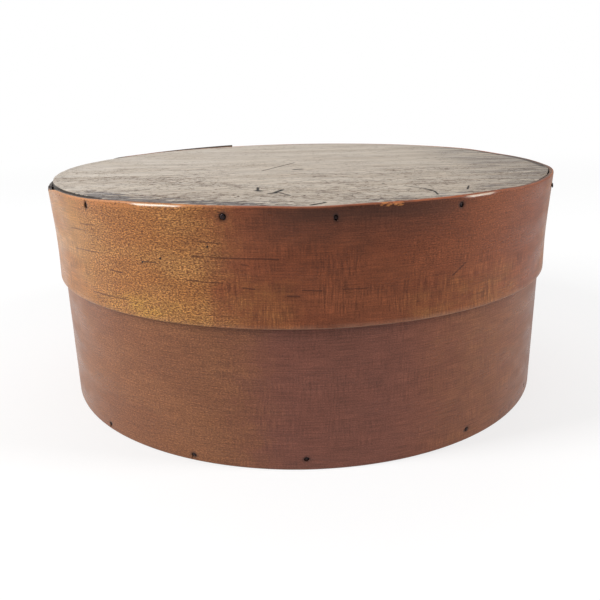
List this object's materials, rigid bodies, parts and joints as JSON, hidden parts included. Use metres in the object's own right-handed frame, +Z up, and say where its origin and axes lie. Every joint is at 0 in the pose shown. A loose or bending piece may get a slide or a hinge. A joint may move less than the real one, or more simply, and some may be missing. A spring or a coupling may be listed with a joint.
{
  "type": "bentwood pantry box",
  "caption": "Round bentwood storage box: a thin bent hoop pinned round a flat bottom board, with a push-on lid built the same way that slides down over it.",
  "frame": {"origin": "centre of the box's underside, on the surface it stands on", "axes": "+Z up along the box's axis and the way the lid lifts; -Y is the pictured front; the hoops' laps are at the back, a little to the left"},
  "size_m": [0.252, 0.252, 0.108],
  "materials": {
    "base_hoop_wood": "old varnish, satin, reddish brown",
    "base_board_wood": "bare, dusty, aged",
    "lid_hoop_wood": "old varnish, satin to gloss, golden to red brown",
    "lid_board_wood": "old dull varnish, checked and scratched",
    "brad_iron": "blackened with age",
    "tack_iron": "dark, slightly rusted"
  },
  "bodies": {
    "base": {"base_hoop": "base_hoop_wood", "base_board": "base_board_wood", "base_brads": "brad_iron", "base_lap_tacks": "tack_iron"},
    "lid": {"lid_hoop": "lid_hoop_wood", "lid_board": "lid_board_wood", "lid_brads": "brad_iron", "lid_lap_tacks": "tack_iron"}
  },
  "joints": [
    {"name": "lid_lift", "type": "slide", "parent": "base", "child": "lid", "axis": [0, 0, 1], "range_m": [0, 0.08]}
  ]
}
